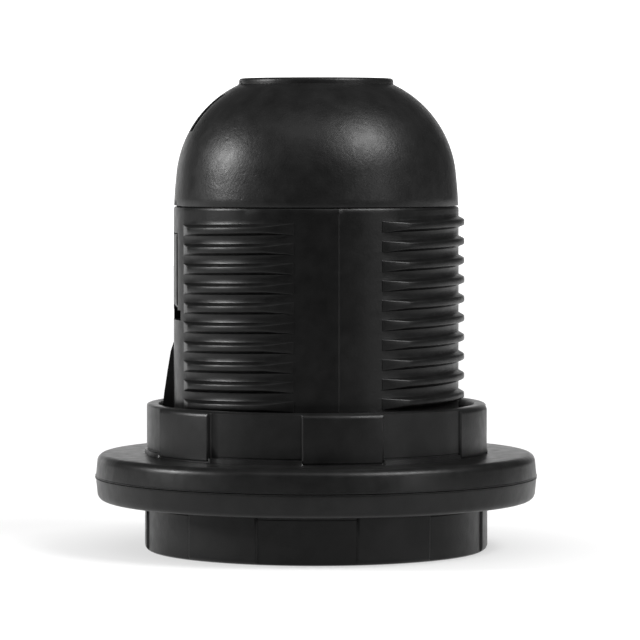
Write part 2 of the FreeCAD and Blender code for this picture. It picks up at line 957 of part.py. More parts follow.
# ---------------------------------------------------------------- rolled screw shell
def shell_form(name, skin, low, high, flange):
    """One side of the rolled sheet as a solid: lip, thread, plain top. The skin is its offset."""
    form = new_body(name)
    section = outline(
        form,
        f"{name}_section",
        "XZ_Plane",
        [
            ("0", low),
            (f"shell_lip_radius + {skin}", low),
            (f"shell_lip_radius + {skin}", "shell_lip_level + shell_lip_height"),
            (f"edison_minor + {skin}", "shell_lip_level + shell_lip_height + shell_lead"),
            (f"edison_minor + {skin}", "shell_top_level - shell_lead"),
            (f"edison_major + {skin}", "shell_top_level"),
            (f"edison_major + {skin}", high),
            ("0", high),
        ],
    )
    turned(form, f"{name}_turned", section)
    rib = outline(
        form,
        f"{name}_thread",
        "XZ_Plane",
        [
            (f"edison_minor + {skin} - edison_foot", "edison_start - edison_foot_width / 2"),
            (f"edison_major + {skin}", "edison_start - edison_crest_width / 2"),
            (f"edison_major + {skin}", "edison_start + edison_crest_width / 2"),
            (f"edison_minor + {skin} - edison_foot", "edison_start + edison_foot_width / 2"),
        ],
    )
    helix = form.newObject("PartDesign::AdditiveHelix", f"{name}_helix")
    helix.Profile = rib
    helix.ReferenceAxis = (rib, ["V_Axis"])
    helix.Mode = "pitch-turns-angle"
    bind(helix, Pitch="edison_pitch", Turns="edison_turns")
    doc.recompute()
    if flange:
        eye = circles(form, f"{name}_eye", "XY_Plane", [("0", "0", "shell_flange_radius")], high)
        padded(form, f"{name}_eye_pad", eye, "cut_over")
    return form


def shell_rivet_tool():
    """Two pins that make the rivet holes in the shell's flange."""
    tool = new_body("shell_rivet_tool")
    pins = circles(
        tool,
        "shell_rivet_pins",
        "XY_Plane",
        SHELL_RIVET_HOLES,
        lift="floor_low - cut_over",
    )
    padded(tool, "shell_rivet_pins_pad", pins, "cut_over * 2")
    return tool


hollow = shell_form(
    "shell_hollow", "0", "shell_lip_level - cut_over", "floor_low - shell_sheet", flange=True
)
shell_outside = shell_form(
    "shell_outside", "shell_sheet", "shell_lip_level", "floor_low", flange=False
)
shell_cutter = doc.addObject("Part::MultiFuse", "shell_cutter")
shell_cutter.Shapes = [hollow, shell_rivet_tool()]
shell = doc.addObject("Part::Cut", "screw_shell")
shell.Base = shell_outside
shell.Tool = shell_cutter
doc.recompute()


# ---------------------------------------------------------------- rivets
def rivet(name, across, along, head_below, head_above):
    """A headed rivet through the floor; the two levels are where its heads seat."""
    body = new_body(name)
    section = outline(
        body,
        f"{name}_section",
        "XZ_Plane",
        [
            ("0", f"{head_below} - rivet_head_thick"),
            ("rivet_head_radius - rivet_dome_step", f"{head_below} - rivet_head_thick"),
            ("rivet_head_radius", f"{head_below} - rivet_rim_thick", "rivet_dome_round"),
            ("rivet_head_radius", head_below),
            ("rivet_radius", head_below),
            ("rivet_radius", head_above),
            ("rivet_head_radius", head_above),
            ("rivet_head_radius - rivet_upset_chamfer", f"{head_above} + rivet_head_thick"),
            ("0", f"{head_above} + rivet_head_thick"),
        ],
    )
    turned(body, f"{name}_turned", section)
    bind(body, Placement__Base__x=across, Placement__Base__y=along)
    return body


strip_top = "(floor_high + strip_thick)"
for side, across in (("left", "-shell_rivet_across"), ("right", "shell_rivet_across")):
    rivet(
        f"shell_rivet_{side}",
        across,
        "shell_rivet_along",
        "(floor_low - shell_sheet)",
        strip_top,
    )
rivet("leaf_rivet", "0", "-leaf_rivet_along", "(floor_low - leaf_thick)", strip_top)


# ---------------------------------------------------------------- terminals
def terminal_strip(name, corners, rivets, screw_along):
    """A brass strip on the carrier's floor, with a collar drawn down and tapped for the screw."""
    strip = new_body(name)
    plan = outline(strip, f"{name}_plan", "XY_Plane", corners, lift="floor_high")
    padded(strip, f"{name}_pad", plan, "strip_thick")
    dressed(strip, f"{name}_corners", "Fillet", upright, "strip_round")
    collar = circles(
        strip,
        f"{name}_collar",
        "XY_Plane",
        [("0", screw_along, "tapped_collar_radius")],
        lift="floor_high - tapped_collar_depth",
    )
    padded(strip, f"{name}_collar_pad", collar, "tapped_collar_depth + strip_thick / 2")
    holes = circles(
        strip,
        f"{name}_holes",
        "XY_Plane",
        [("0", screw_along, "terminal_hole")] + rivets,
        lift=strip_top,
    )
    cut(strip, f"{name}_holes_cut", holes, "tapped_collar_depth + strip_thick")
    return strip


def clamp_washer(name, along):
    """A square clamp washer with its upper corners bevelled."""
    washer = new_body(name)
    plan = outline(
        washer,
        f"{name}_plan",
        "XY_Plane",
        rectangle("-washer_side / 2", "-washer_side / 2", "washer_side / 2", "washer_side / 2"),
        lift=strip_top,
    )
    padded(washer, f"{name}_pad", plan, "washer_thick")
    top = value(f"{strip_top} + washer_thick")
    dressed(
        washer,
        f"{name}_bevel",
        "Chamfer",
        lambda e: all(abs(v.Z - top) < 1e-6 for v in e.Vertexes),
        "washer_chamfer",
    )
    hole = circles(
        washer,
        f"{name}_hole",
        "XY_Plane",
        [("0", "0", "washer_hole")],
        lift=f"{strip_top} + washer_thick",
    )
    cut(washer, f"{name}_hole_cut", hole, "washer_thick")
    bind(washer, Placement__Base__y=along)
    return washer


def terminal_screw(name, along):
    """A pan-head terminal screw with a straight driver slot. Its shank stands for the thread."""
    screw = new_body(name)
    seat = f"({strip_top} + washer_thick)"
    end = f"({strip_top} - terminal_shank_drop)"
    section = outline(
        screw,
        f"{name}_section",
        "XZ_Plane",
        [
            ("0", end),
            ("terminal_radius - terminal_point", end),
            ("terminal_radius", f"{end} + terminal_point"),
            ("terminal_radius", seat),
            ("terminal_head_radius", seat),
            ("terminal_head_radius", f"{seat} + terminal_head_thick - terminal_head_round"),
            (
                "terminal_head_radius - terminal_head_round",
                f"{seat} + terminal_head_thick",
                "terminal_head_round",
            ),
            ("0", f"{seat} + terminal_head_thick"),
        ],
    )
    turned(screw, f"{name}_turned", section)
    slot = outline(
        screw,
        f"{name}_slot",
        "XY_Plane",
        rectangle(
            "-terminal_head_radius - cut_over",
            "-driver_cut_width / 2",
            "terminal_head_radius + cut_over",
            "driver_cut_width / 2",
        ),
        lift=f"{seat} + terminal_head_thick",
    )
    cut(screw, f"{name}_slot_cut", slot, "driver_cut_depth")
    bind(screw, Placement__Base__y=along)
    return screw


terminal_strip(
    "neutral_strip",
    rectangle(
        "-neutral_length / 2",
        "neutral_along - neutral_width / 2",
        "neutral_length / 2",
        "neutral_along + neutral_width / 2",
    ),
    SHELL_RIVET_HOLES,
    "neutral_screw_along",
)
terminal_strip(
    "live_strip",
    rectangle("-live_width / 2", "-live_far", "live_width / 2", "-live_near"),
    [LEAF_RIVET_HOLE],
    "-live_screw_along",
)
clamp_washer("neutral_washer", "neutral_screw_along")
clamp_washer("live_washer", "-live_screw_along")
terminal_screw("neutral_screw", "neutral_screw_along")
terminal_screw("live_screw", "-live_screw_along")


# ---------------------------------------------------------------- centre contact
def centre_leaf():
    """A hairpin of spring bronze under the floor, with a flat end for the contact button."""
    leaf = new_body("centre_leaf")
    tongue = "(floor_low - 2 * leaf_bend_round)"
    tip = f"({tongue} - leaf_drop)"
    side = outline(
        leaf,
        "leaf_side",
        "YZ_Plane",
        [
            ("-leaf_foot_end", "floor_low"),
            ("-leaf_bend_along", "floor_low"),
            ("-leaf_bend_along", tongue, "leaf_bend_round + leaf_bend_slack"),
            ("-leaf_slope_start", tongue),
            ("-leaf_slope_end", tip),
            ("leaf_tip", tip),
            ("leaf_tip", f"{tip} + leaf_thick"),
            ("-leaf_slope_end + leaf_slope_shift", f"{tip} + leaf_thick"),
            ("-leaf_slope_start + leaf_slope_shift", f"{tongue} + leaf_thick"),
            ("-leaf_bend_along", f"{tongue} + leaf_thick"),
            (
                "-leaf_bend_along",
                "floor_low - leaf_thick",
                "-(leaf_bend_round - leaf_thick + leaf_bend_slack)",
            ),
            ("-leaf_foot_end", "floor_low - leaf_thick"),
        ],
    )
    padded(leaf, "leaf_pad", side, "leaf_width", both_ways=True)
    rivet_eye = circles(
        leaf,
        "leaf_rivet_eye",
        "XY_Plane",
        [LEAF_RIVET_HOLE],
        lift="floor_low",
    )
    cut(leaf, "leaf_rivet_eye_cut", rivet_eye, "leaf_thick * 2")
    button_eye = circles(
        leaf,
        "leaf_button_eye",
        "XY_Plane",
        [("0", "0", "button_hole")],
        lift=f"{tip} + leaf_thick",
    )
    cut(leaf, "leaf_button_eye_cut", button_eye, "leaf_thick")
    return leaf


def contact_button():
    """The brass contact riveted into the leaf's flat end: a domed face towards the lamp."""
    button = new_body("contact_button")
    under = "(floor_low - 2 * leaf_bend_round - leaf_drop)"
    section = outline(
        button,
        "button_section",
        "XZ_Plane",
        [
            ("0", f"{under} - button_rim - button_dome"),
            ("button_radius", f"{under} - button_rim", "button_dome_round"),
            ("button_radius", under),
            ("button_shank", under),
            ("button_shank", f"{under} + leaf_thick"),
            ("button_upset_radius", f"{under} + leaf_thick"),
            (
                "button_upset_radius - button_upset_chamfer",
                f"{under} + leaf_thick + button_upset_thick",
            ),
            ("0", f"{under} + leaf_thick + button_upset_thick"),
        ],
    )
    turned(button, "button_turned", section)
    return button


centre_leaf()
contact_button()
doc.recompute()

# ---------------------------------------------------------------- checks and export
NODES = {
    "upper_shade_ring": upper_ring,
    "lower_shade_ring": lower_ring,
    "threaded_skirt": skirt,
    "contact_carrier": carrier,
    "screw_shell": shell,
}
for name in (
    "dome_cap",
    "entry_bush",
    "lock_screw",
    "shell_rivet_left",
    "shell_rivet_right",
    "leaf_rivet",
    "neutral_strip",
    "live_strip",
    "neutral_washer",
    "live_washer",
    "neutral_screw",
    "live_screw",
    "centre_leaf",
    "contact_button",
):
    NODES[name] = doc.getObject(name)

for thing in doc.Objects:
    bad = [s for s in thing.State if s in ("Invalid", "Error")]
    if bad:
        raise RuntimeError(f"{thing.Name} is {bad}")
for name, thing in NODES.items():
    shape = thing.Shape
    if shape.isNull() or not shape.isValid() or len(shape.Solids) != 1:
        raise RuntimeError(f"{name} has no single valid solid")

os.makedirs("parts", exist_ok=True)
for name, thing in NODES.items():
    thing.Label = name
    thing.Shape.exportStep(f"parts/{name}.step")
    print(name, round(thing.Shape.Volume, 1))
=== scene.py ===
"""The lamp holder as it looks: black moulded skirt, dome and rings, brass and steel inside."""

import math

import bmesh
import bpy
from mathutils import Matrix, Vector


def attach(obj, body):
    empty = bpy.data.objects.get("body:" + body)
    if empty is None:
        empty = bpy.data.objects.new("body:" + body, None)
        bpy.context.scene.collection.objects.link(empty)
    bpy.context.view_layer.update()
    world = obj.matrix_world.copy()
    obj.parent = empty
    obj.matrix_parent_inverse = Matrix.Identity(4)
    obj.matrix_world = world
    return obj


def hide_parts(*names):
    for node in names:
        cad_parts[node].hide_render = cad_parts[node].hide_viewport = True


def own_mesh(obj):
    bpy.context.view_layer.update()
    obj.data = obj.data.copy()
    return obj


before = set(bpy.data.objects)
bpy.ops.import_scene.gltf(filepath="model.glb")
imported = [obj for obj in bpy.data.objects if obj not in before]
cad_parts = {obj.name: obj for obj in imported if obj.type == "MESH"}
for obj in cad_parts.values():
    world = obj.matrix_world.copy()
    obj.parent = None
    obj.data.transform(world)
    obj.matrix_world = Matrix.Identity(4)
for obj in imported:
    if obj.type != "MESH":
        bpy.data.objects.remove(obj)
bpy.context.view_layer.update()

# ---------------------------------------------------------------- threaded skirt
# The skirt is one shot of black thermoplastic. Its barrel thread is left in four sectors between
# plain panels, because the two halves of the mould part on -Y and +Y and slides form the sides.
# The ridges run out as flat facets towards the wide panels and end steeply at the narrow ones.
MM = 0.001
SKIRT_RADIUS = 18.65
SKIRT_BORE = 16.95
MOUTH_RADIUS = 14.8
MOUTH_LEVEL = 0.6
MOUTH_CHAMFER = 0.5
SHOULDER_LEVEL = 10.6
SEAM_LEVEL = 44.9
SEAM_CHAMFER = 0.25
SPIGOT_RADIUS = 16.8
SPIGOT_BORE = 15.6
SPIGOT_FOOT, SPIGOT_LEAD_FOOT = 3.3, 4.7
THREAD_PITCH = 2.5
THREAD_START = 3.04
THREAD_TURNS = 16.21
CREST_HEIGHT = 0.85
RIDGE_ROOT_HALF = 0.74
RIDGE_CREST_HALF = 0.40
# a ridge's corners: share of its height, and how far the corner is drawn in from the flank
RIDGE_FLANK = [(0.0, -0.12), (0.05, -0.02), (0.25, 0.0), (0.80, 0.0), (0.95, 0.05), (1.0, 0.17)]
# middle of a panel, then its half width and run-out before and after the middle, in degrees
PANELS = [
    (0, 14.0, 3.0, 14.0, 3.0),
    (90, 17.65, 11.5, 17.65, 11.5),
    (180, 27.0, 3.0, 15.0, 8.2),
    (270, 17.65, 11.5, 17.65, 11.5),
]
RUN_OUT_STEP = 0.06
PARTING_HEIGHT = 0.09
PARTING_HALF = 0.32


def threaded_wall(mesh, columns, pitch, start, low, high, end_radius, points):
    """A wall of helical rows round Z. Its ends are level, and lie at one radius.

    points(azimuth, turns) lists the (offset, radius) corners of the one turn that passes there.
    """
    lines = []
    first = math.floor((low - start) / pitch) - 1
    last = math.ceil((high - start) / pitch) + 1
    for azimuth in columns:
        line = []
        for k in range(first, last + 1):
            turns = k + azimuth / 360
            for offset, radius in points(azimuth, turns):
                level = start + turns * pitch + offset
                if not low < level < high:
                    level = min(max(level, low), high)
                    radius = end_radius
                turn = math.radians(azimuth)
                line.append(
                    mesh.verts.new((radius * math.cos(turn), radius * math.sin(turn), level))
                )
        lines.append(line)
    per_turn = len(lines[0]) // (last + 1 - first)
    pairs = [(a, b, 0) for a, b in zip(lines, lines[1:])] + [(lines[-1], lines[0], per_turn)]
    for here, after, shift in pairs:
        for i in range(len(here) - shift - 1):
            mesh.faces.new((here[i], after[i + shift], after[i + shift + 1], here[i + 1]))
    bmesh.ops.remove_doubles(mesh, verts=mesh.verts, dist=1e-5)


def rim(mesh, level):
    """The open edges that lie at a level."""
    return [
        e
        for e in mesh.edges
        if e.is_boundary and all(abs(v.co.z - level) < 1e-4 for v in e.verts)
    ]


def drawn(mesh, loop, points):
    """Extrudes a round edge loop through (radius, level) points and returns the last loop."""
    for radius, level in points:
        made = bmesh.ops.extrude_edge_only(mesh, edges=loop)["geom"]
        corners = [g for g in made if isinstance(g, bmesh.types.BMVert)]
        for corner in corners:
            scale = radius / corner.co.xy.length
            corner.co = (corner.co.x * scale, corner.co.y * scale, level)
        loop = [g for g in made if isinstance(g, bmesh.types.BMEdge)]
    return loop


def spread(start, end, steps):
    """Evenly spaced numbers from start up to, but not including, end."""
    return [start + (end - start) * i / steps for i in range(steps)]


def finished(mesh, name, material, sharp=40.0):
    """Turns a bmesh in millimetres into a shaded object in metres, sharp at edges over an angle."""
    bmesh.ops.remove_doubles(mesh, verts=mesh.verts, dist=1e-4)
    bmesh.ops.recalc_face_normals(mesh, faces=mesh.faces)
    bmesh.ops.scale(mesh, vec=(MM, MM, MM), verts=mesh.verts)
    for face in mesh.faces:
        face.smooth = True
    for edge in mesh.edges:
        edge.smooth = edge.calc_face_angle(math.pi) < math.radians(sharp)
    data = bpy.data.meshes.new(name)
    mesh.to_mesh(data)
    mesh.free()
    data.materials.append(material)
    piece = bpy.data.objects.new(name, data)
    bpy.context.scene.collection.objects.link(piece)
    return piece


def prism(mesh, corners, along, azimuth=0.0):
    """Adds a flat-ended solid in millimetres: a polygon pushed along a vector, turned about Z."""
    base = mesh.faces.new([mesh.verts.new(corner) for corner in corners])
    pushed = bmesh.ops.extrude_face_region(mesh, geom=[base], use_keep_orig=True)["geom"]
    moved = [g for g in pushed if isinstance(g, bmesh.types.BMVert)]
    bmesh.ops.translate(mesh, vec=along, verts=moved)
    about = Matrix.Rotation(math.radians(azimuth), 3, "Z")
    bmesh.ops.rotate(mesh, cent=(0, 0, 0), matrix=about, verts=list(base.verts) + moved)


def slab(mesh, low, high, azimuth=0.0):
    """Adds a block between two corners, turned about Z."""
    corners = [(low[0], low[1], z) for z in (low[2], high[2])]
    corners += [(high[0], low[1], z) for z in (high[2], low[2])]
    prism(mesh, corners, (0, high[1] - low[1], 0), azimuth)


def segment(mesh, section, middle, span, steps=10):
    """Adds a part ring: a polygon of (radius, level) corners swept round Z, with flat ends."""
    rows = []
    for i in range(steps + 1):
        turn = math.radians(middle - span / 2 + span * i / steps)
        rows.append(
            [mesh.verts.new((r * math.cos(turn), r * math.sin(turn), z)) for r, z in section]
        )
    for here, after in zip(rows, rows[1:]):
        for i in range(len(section)):
            mesh.faces.new((here[i - 1], here[i], after[i], after[i - 1]))
    mesh.faces.new(rows[0])
    mesh.faces.new(rows[-1][::-1])


def combined(piece, mesh, operation):
    """Joins solids in millimetres to a piece, or cuts them out of it, and leaves no modifier."""
    bmesh.ops.recalc_face_normals(mesh, faces=mesh.faces)
    bmesh.ops.scale(mesh, vec=(MM, MM, MM), verts=mesh.verts)
    data = bpy.data.meshes.new("tool")
    mesh.to_mesh(data)
    mesh.free()
    tool = bpy.data.objects.new("tool", data)
    bpy.context.scene.collection.objects.link(tool)
    change = piece.modifiers.new("change", "BOOLEAN")
    change.operation = operation
    change.solver = "EXACT"
    change.object = tool
    bpy.context.view_layer.update()
    graph = bpy.context.evaluated_depsgraph_get()
    changed = bpy.data.meshes.new_from_object(piece.evaluated_get(graph))
    piece.modifiers.clear()
    piece.data = changed
    bpy.data.objects.remove(tool)


def ranged(tree, value, low, high, first=0.0, last=1.0):
    """A value spread from (low, high) to (first, last), and held at those ends."""
    spreading = tree.nodes.new("ShaderNodeMapRange")
    spreading.inputs["From Min"].default_value = low
    spreading.inputs["From Max"].default_value = high
    spreading.inputs["To Min"].default_value = first
    spreading.inputs["To Max"].default_value = last
    tree.links.new(value, spreading.inputs["Value"])
    return spreading.outputs["Result"]


def noise(tree, scale, detail, low, high, first, last, stretch=None):
    """A noise over the piece's own coordinates, spread from (low, high) to (first, last)."""
    nodes, links = tree.nodes, tree.links
    place = nodes.new("ShaderNodeTexCoord").outputs["Object"]
    if stretch:
        pulled = nodes.new("ShaderNodeMapping")
        pulled.inputs["Scale"].default_value = stretch
        links.new(place, pulled.inputs["Vector"])
        place = pulled.outputs["Vector"]
    cloud = nodes.new("ShaderNodeTexNoise")
    cloud.inputs["Scale"].default_value = scale
    cloud.inputs["Detail"].default_value = detail
    links.new(place, cloud.inputs["Vector"])
    return ranged(tree, cloud.outputs["Fac"], low, high, first, last)


def toned(tree, factor, dark, light):
    """A colour between two, by a factor."""
    mix = tree.nodes.new("ShaderNodeMix")
    mix.data_type = "RGBA"
    mix.inputs["A"].default_value = (*dark, 1)
    mix.inputs["B"].default_value = (*light, 1)
    tree.links.new(factor, mix.inputs["Factor"])
    return mix.outputs["Result"]


def grained(tree, height, distance, below=None):
    """A bump of a height in metres, laid over another where one is given."""
    bump = tree.nodes.new("ShaderNodeBump")
    bump.inputs["Strength"].default_value = 1.0
    bump.inputs["Distance"].default_value = distance
    tree.links.new(height, bump.inputs["Height"])
    if below:
        tree.links.new(below, bump.inputs["Normal"])
    return bump.outputs["Normal"]


def moulded_plastic(name, colour, roughness, grain, specular=0.23):
    """Black plastic: a fine eroded grain, mottling from the flow of the melt, and small pits."""
    material = bpy.data.materials.new(name)
    material.use_nodes = True
    tree = material.node_tree
    shader = tree.nodes["Principled BSDF"]
    shader.inputs["Specular IOR Level"].default_value = specular
    tone = toned(
        tree,
        noise(tree, 420, 5, 0.3, 0.7, 0, 1),
        [c * 0.75 for c in colour],
        [c * 1.35 for c in colour],
    )
    tree.links.new(tone, shader.inputs["Base Color"])
    patchy = noise(tree, 700, 6, 0.3, 0.7, roughness - 0.035, roughness + 0.05)
    tree.links.new(patchy, shader.inputs["Roughness"])
    flow = grained(tree, noise(tree, 800, 2, 0.2, 0.8, 0, 1), grain * 1.4)
    fine = grained(tree, noise(tree, 2900, 3, 0.2, 0.8, 0, 1), grain * 0.9, flow)
    pits = grained(tree, noise(tree, 1700, 1, 0.22, 0.36, 0, 1), grain * 0.7, fine)
    tree.links.new(pits, shader.inputs["Normal"])
    return material


skirt_black = moulded_plastic("skirt_black", (0.006, 0.006, 0.006), 0.35, 7e-6, 0.20)

skirt_columns = []
for middle, half_before, taper_before, half_after, taper_after in PANELS:
    start_of_panel = middle - half_before
    end_of_panel = middle + half_after
    skirt_columns += spread(start_of_panel - taper_before, start_of_panel - 0.12, 10)
    skirt_columns += [start_of_panel - 0.12] + spread(start_of_panel, middle - PARTING_HALF, 5)
    skirt_columns += [middle - PARTING_HALF, middle, middle + PARTING_HALF]
    skirt_columns += spread(middle + 2, end_of_panel, 4)
    skirt_columns += [end_of_panel, end_of_panel + 0.12]
    skirt_columns += spread(end_of_panel + 0.8, end_of_panel + taper_after, 9)
for (middle, _, _, half, taper), (after, half_after, taper_after, _, _) in zip(
    PANELS, PANELS[1:] + [(360, *PANELS[0][1:])]
):
    skirt_columns += spread(middle + half + taper, after - half_after - taper_after, 16)
skirt_columns = sorted({round(azimuth % 360, 4) for azimuth in skirt_columns})


def ridge_ceiling(azimuth):
    """How high a ridge may stand at an azimuth: 0 on a panel, its full height between panels."""
    ceiling = CREST_HEIGHT
    for middle, half_before, taper_before, half_after, taper_after in PANELS:
        turn = (azimuth - middle + 180) % 360 - 180
        half, taper = (half_before, taper_before) if turn < 0 else (half_after, taper_after)
        if abs(turn) <= half + 1e-3:
            return 0.0
        share = (abs(turn) - half) / taper
        step = RUN_OUT_STEP if taper > 5 else 0.0
        ceiling = min(ceiling, step + (CREST_HEIGHT - step) * share)
    return ceiling


def ridge_points(azimuth, turns):
    """One turn of the barrel thread, with its crest cut down to what its azimuth allows."""
    height = ridge_ceiling(azimuth) if 0 <= turns <= THREAD_TURNS else 0.0
    base = SKIRT_RADIUS
    if min(abs(azimuth - 90), abs(azimuth - 270)) < 0.01:
        base += PARTING_HEIGHT
    flank = []
    for share, drawn_in in RIDGE_FLANK:
        half = RIDGE_ROOT_HALF
        half -= (RIDGE_ROOT_HALF - RIDGE_CREST_HALF) * share * height / CREST_HEIGHT
        flank.append((half - drawn_in * min(1.0, 0.3 + height), base + share * height))
    crest = (0.0, base + height)
    root = (-THREAD_PITCH / 2, base)
    return [root] + [(-o, r) for o, r in flank] + [crest] + flank[::-1]


skirt = bmesh.new()
threaded_wall(
    skirt,
    skirt_columns,
    THREAD_PITCH,
    THREAD_START,
    MOUTH_LEVEL + MOUTH_CHAMFER,
    SEAM_LEVEL - SEAM_CHAMFER,
    SKIRT_RADIUS,
    ridge_points,
)
drawn(
    skirt,
    rim(skirt, SEAM_LEVEL - SEAM_CHAMFER),
    [
        (SKIRT_RADIUS - 0.10, SEAM_LEVEL - 0.06),
        (SKIRT_RADIUS - SEAM_CHAMFER, SEAM_LEVEL),
        (SPIGOT_RADIUS, SEAM_LEVEL),
        (SPIGOT_RADIUS, SEAM_LEVEL + 1.6),
        (SPIGOT_RADIUS - 0.4, SEAM_LEVEL + 2.0),
        (SPIGOT_BORE, SEAM_LEVEL + 2.0),
        (SPIGOT_BORE, SEAM_LEVEL - SPIGOT_FOOT),
        (SKIRT_BORE, SEAM_LEVEL - SPIGOT_LEAD_FOOT),
        (SKIRT_BORE, SHOULDER_LEVEL),
        (MOUTH_RADIUS, SHOULDER_LEVEL),
        (MOUTH_RADIUS, MOUTH_LEVEL + MOUTH_CHAMFER),
        (MOUTH_RADIUS + MOUTH_CHAMFER, MOUTH_LEVEL),
        (SKIRT_RADIUS - MOUTH_CHAMFER, MOUTH_LEVEL),
        (SKIRT_RADIUS, MOUTH_LEVEL + MOUTH_CHAMFER),
    ],
)
skirt_piece = finished(skirt, "skirt_moulding", skirt_black, sharp=38)

# windows for the cap's hooks, wider at their foot, and grooves that let its legs past the spigot
THROUGH_WALL = 20
for reach, half_width, low, high in (
    (THROUGH_WALL, 2.15, 31.4, 41.5),
    (THROUGH_WALL, 3.5, 30.2, 31.5),
    (SKIRT_BORE, 3.1, 41.4, 47.5),
):
    opening = bmesh.new()
    slab(opening, (-reach, -half_width, low), (reach, half_width, high))
    combined(skirt_piece, opening, "DIFFERENCE")

# the ramp rib on the left, the rib that keys the carrier, and the bumps over its flange
ribs = bmesh.new()
RAMP_HALF, RAMP_AZIMUTH = 0.625, 180 - 12.4
RIB_ROOT = 17.45
ramp = [(17.65, 16.9), (20.35, 16.9), (19.98, 20.3), (19.5, 23.5), (19.1, 25.9)]
ramp += [(18.6, 27.4), (17.65, 27.4)]
prism(ribs, [(r, -RAMP_HALF, z) for r, z in ramp], (0, RAMP_HALF * 2, 0), RAMP_AZIMUTH)
KEY_RADIUS, KEY_HALF, KEY_AZIMUTH = 16.1, 0.7, 45
slab(ribs, (KEY_RADIUS, -KEY_HALF, 10.1), (RIB_ROOT, KEY_HALF, 30.5), KEY_AZIMUTH)
bump = [(RIB_ROOT, 31.02), (16.35, 31.02), (16.35, 31.45), (SKIRT_BORE, 32.32)]
bump += [(RIB_ROOT, 32.32)]
BUMP_SPAN = 30
for azimuth in (90, 270):
    segment(ribs, bump, azimuth, BUMP_SPAN)
combined(skirt_piece, ribs, "UNION")
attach(skirt_piece, "holder")
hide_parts("threaded_skirt")


# ---------------------------------------------------------------- shade rings
# The two shade rings are one moulding used twice, face to face, screwed onto the barrel thread.
# Each has a flange with a flash line at its face, and a collar with six low pads for the fingers.
MATING_LEVEL = 9.6
FLANGE_RADIUS = 28.85
FLANGE_THICK = 3.05
FLANGE_ROUND = 1.05
FLANGE_DRAFT = 0.15
FLASH_PROUD = 0.18
COLLAR_RADIUS = 22.47
RECESS_DEPTH = 0.26
PAD_FACE_HALF, PAD_EDGE_HALF, PAD_FOOT_HALF = 13.0, 13.35, 13.65
# corners of the cove at the collar's foot, out and up: at the face of a pad, and in a recess
COVE = [((0.30, 0.0), (0.55, 0.0)), ((0.05, 0.02), (0.30, 0.06)), ((-0.10, 0.06), (0.24, 0.58))]
COVE += [((-0.10, 0.20), (-0.06, 0.64)), ((-0.06, 0.26), (-0.06, 0.78)), ((0.0, 0.34), (0.0, 0.86))]
# the mould's seam, a fine ridge beside one pad
SEAM_PAD, SEAM_TURN, SEAM_HALF, SEAM_PROUD = 210, 14.75, 0.5, 0.13
RING_HEIGHT = 9.6
RIM_ROUND = 0.75
RIM_BORE = 20.66
POCKET_FLOOR = 6.6
RING_BORE = 19.8
RING_GROOVE = 0.62
THREAD_LEAD, THREAD_STOP = 0.4, 0.2
# how far the flash at the flange's edge wanders in and out
FLASH_DRAWN_IN, FLASH_WAVE = 0.05, 0.03


def arc(start, end, radius, steps):
    """Points (radius, level) on the shorter arc from start to end, without the start.

    It turns left, or right where the radius is negative.
    """
    a, b = Vector(start), Vector(end)
    chord = b - a
    rise = math.sqrt(radius**2 - (chord.length / 2) ** 2)
    left = Vector((-chord.y, chord.x)).normalized() * math.copysign(1, radius)
    centre = (a + b) / 2 + left * rise
    begin = math.atan2(a.y - centre.y, a.x - centre.x)
    sweep = 2 * math.asin(chord.length / 2 / abs(radius)) * math.copysign(1, radius)
    reach = abs(radius)
    turns = [begin + sweep * i / steps for i in range(1, steps + 1)]
    return [(centre.x + reach * math.cos(t), centre.y + reach * math.sin(t)) for t in turns]


def recessed(own):
    """How far into a recess an azimuth in the ring's frame lies: 0 on a pad, 1 past its side."""
    turn = abs(own % 60 - 30)
    share = (turn - PAD_FACE_HALF) / (PAD_FOOT_HALF - PAD_FACE_HALF)
    return min(max(share, 0.0), 1.0) ** 2


def collar_dip(own):
    """How far the collar lies inside the face of its pads."""
    seam = 1 - abs(own % 360 - SEAM_PAD - SEAM_TURN) / SEAM_HALF
    return RECESS_DEPTH * recessed(own) - SEAM_PROUD * max(seam, 0.0)


def groove_points(azimuth, turns):
    """One turn of the ring's internal groove, which takes a ridge of the barrel thread."""
    corners = [(-1.25, 0), (-0.95, 0), (-0.85, 0.06), (-0.52, 0.55), (-0.4, 1), (0.4, 1)]
    corners += [(0.52, 0.55), (0.85, 0.06), (0.95, 0)]
    return [(offset, RING_BORE + RING_GROOVE * depth) for offset, depth in corners]


